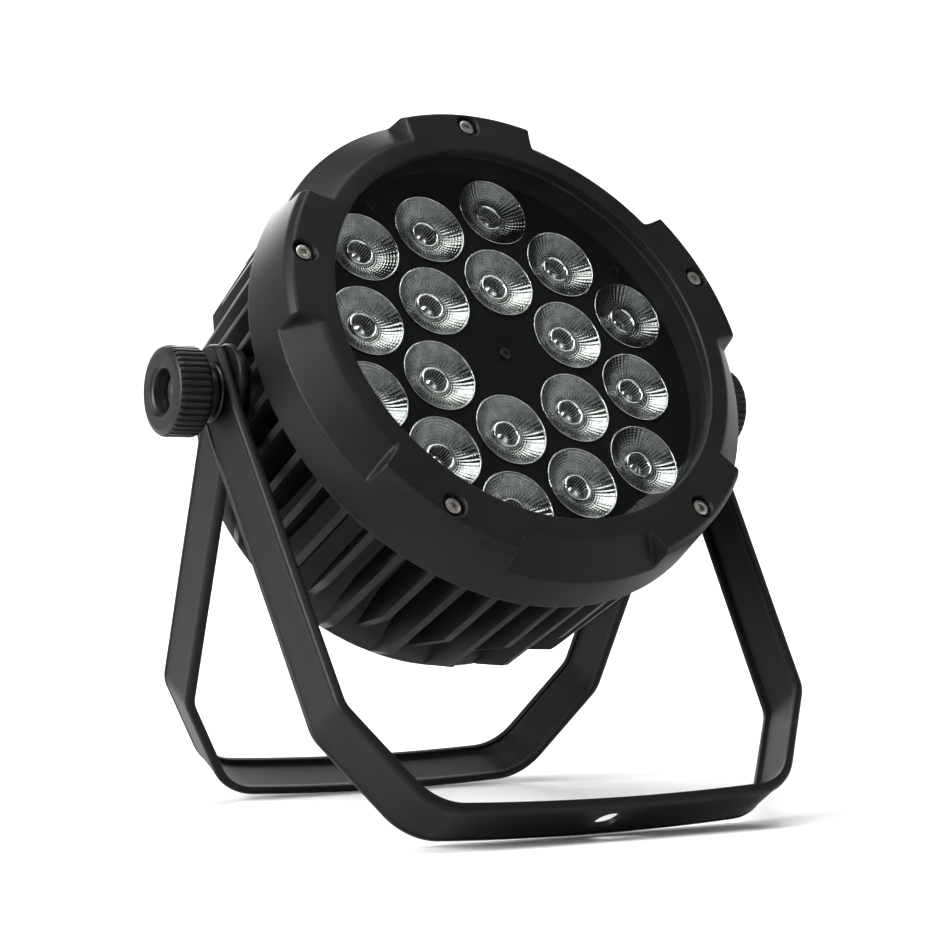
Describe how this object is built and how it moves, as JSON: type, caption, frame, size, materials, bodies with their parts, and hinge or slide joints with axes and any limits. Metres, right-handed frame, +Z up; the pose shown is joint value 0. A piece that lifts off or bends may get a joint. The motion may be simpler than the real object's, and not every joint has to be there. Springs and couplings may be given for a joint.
{
  "type": "par can light",
  "caption": "LED par can stage light with a round finned head, lobed front bezel and lens array, hung between two splayed brackets with clamping knobs.",
  "frame": {"origin": "on the floor, under the middle of the bounding box at rest", "axes": "+X along the pivot, -Y the side the light points to, +Z up; +Z is the longest extent and Y the shortest"},
  "size_m": [0.3222, 0.2582, 0.3372],
  "materials": {
    "bracket_coat": "satin black powder coat with a fine texture",
    "bezel_casting": "die-cast, satin black powder coat with a fine texture",
    "housing_casting": "die-cast, satin black powder coat with a fine texture",
    "cover_casting": "die-cast, satin black powder coat with a fine texture",
    "eye_coat": "satin black powder coat",
    "stainless_screw": "stainless steel",
    "black_screw": "black oxide",
    "stud_steel": "zinc-plated",
    "washer_steel": "black oxide",
    "front_glass": "clear toughened glass",
    "gasket_rubber": "silicone",
    "thermal_pad": "grey thermal pad",
    "led_board": "circuit board with black solder mask",
    "led_phosphor": "silicone dome over phosphor",
    "holder_plastic": "moulded",
    "lens_acrylic": "clear acrylic with a beaded front",
    "mask_plastic": "matt black sheet",
    "pillar_brass": "turned",
    "supply_case": "pressed case, potted inside",
    "display_window": "tinted polycarbonate",
    "display_module": "display panel",
    "control_board": "circuit board with green solder mask",
    "switch_plastic": "moulded",
    "button_rubber": "silicone",
    "socket_plastic": "moulded",
    "cap_rubber": "moulded",
    "vent_plastic": "moulded",
    "insert_brass": "threaded insert",
    "friction_fibre": "fibre disc",
    "spacer_nylon": "nylon",
    "knob_plastic": "moulded, satin black"
  },
  "bodies": {
    "front_bracket": {"front_bracket": "bracket_coat"},
    "rear_bracket": {"rear_bracket": "bracket_coat", "ear_spacers": "spacer_nylon"},
    "head": {"front_bezel": "bezel_casting", "bezel_screws": "stainless_screw", "front_glass": "front_glass", "glass_gasket": "gasket_rubber", "housing_seal": "gasket_rubber", "heatsink_housing": "housing_casting", "thermal_pad": "thermal_pad", "led_board": "led_board", "led_board_screws": "stainless_screw", "led_emitters": "led_phosphor", "lens_holders": "holder_plastic", "lenses": "lens_acrylic", "lens_mask": "mask_plastic", "mask_pillars": "pillar_brass", "mask_screws": "black_screw", "supply_standoffs": "pillar_brass", "power_supply": "supply_case", "supply_screws": "black_screw", "cover_gasket": "gasket_rubber", "rear_cover": "cover_casting", "cover_screws": "black_screw", "display_window": "display_window", "control_board": "control_board", "board_pillars": "pillar_brass", "display_module": "display_module", "menu_switches": "switch_plastic", "power_inlet": "socket_plastic", "power_outlet": "socket_plastic", "data_inlet": "socket_plastic", "data_outlet": "socket_plastic", "socket_screws": "black_screw", "socket_caps": "cap_rubber", "vent_valve": "vent_plastic", "safety_eye": "eye_coat", "eye_screws": "black_screw", "pivot_inserts": "insert_brass", "friction_discs": "friction_fibre"},
    "left_washer": {"left_washer": "washer_steel"},
    "right_washer": {"right_washer": "washer_steel"},
    "left_knob": {"left_knob": "knob_plastic", "left_knob_stud": "stud_steel"},
    "right_knob": {"right_knob": "knob_plastic", "right_knob_stud": "stud_steel"},
    "menu_button": {"menu_button": "button_rubber"},
    "down_button": {"down_button": "button_rubber"},
    "up_button": {"up_button": "button_rubber"},
    "enter_button": {"enter_button": "button_rubber"}
  },
  "joints": [
    {"name": "head_tilt", "type": "hinge", "parent": "front_bracket", "child": "head", "pos_m": [0, 0.00813, 0.1976], "axis": [-1, 0, 0], "range_deg": [-70, 60]},
    {"name": "rear_bracket_swing", "type": "hinge", "parent": "front_bracket", "child": "rear_bracket", "pos_m": [0, 0.00813, 0.1976], "axis": [-1, 0, 0], "range_deg": [-30, 58.5]},
    {"name": "left_knob_travel", "type": "slide", "parent": "head", "child": "left_washer", "axis": [-1, 0, 0], "range_m": [0, 0.00299]},
    {"name": "left_knob_turn", "type": "hinge", "parent": "left_washer", "child": "left_knob", "pos_m": [0, 0.00813, 0.1976], "axis": [-1, 0, 0], "range_deg": [0, 720]},
    {"name": "right_knob_travel", "type": "slide", "parent": "head", "child": "right_washer", "axis": [1, 0, 0], "range_m": [0, 0.00299]},
    {"name": "right_knob_turn", "type": "hinge", "parent": "right_washer", "child": "right_knob", "pos_m": [0, 0.00813, 0.1976], "axis": [1, 0, 0], "range_deg": [0, 720]},
    {"name": "menu_button_press", "type": "slide", "parent": "head", "child": "menu_button", "axis": [0, -0.8771, 0.4802], "range_m": [0, 0.001], "stiffness_N_per_m": 800, "springref_m": -0.001},
    {"name": "down_button_press", "type": "slide", "parent": "head", "child": "down_button", "axis": [0, -0.8771, 0.4802], "range_m": [0, 0.001], "stiffness_N_per_m": 800, "springref_m": -0.001},
    {"name": "up_button_press", "type": "slide", "parent": "head", "child": "up_button", "axis": [0, -0.8771, 0.4802], "range_m": [0, 0.001], "stiffness_N_per_m": 800, "springref_m": -0.001},
    {"name": "enter_button_press", "type": "slide", "parent": "head", "child": "enter_button", "axis": [0, -0.8771, 0.4802], "range_m": [0, 0.001], "stiffness_N_per_m": 800, "springref_m": -0.001}
  ],
  "couplings": [
    {"joint": "left_knob_turn", "follows": "left_knob_travel", "rad_per_m": 4188.8},
    {"joint": "right_knob_turn", "follows": "right_knob_travel", "rad_per_m": 4188.8}
  ]
}
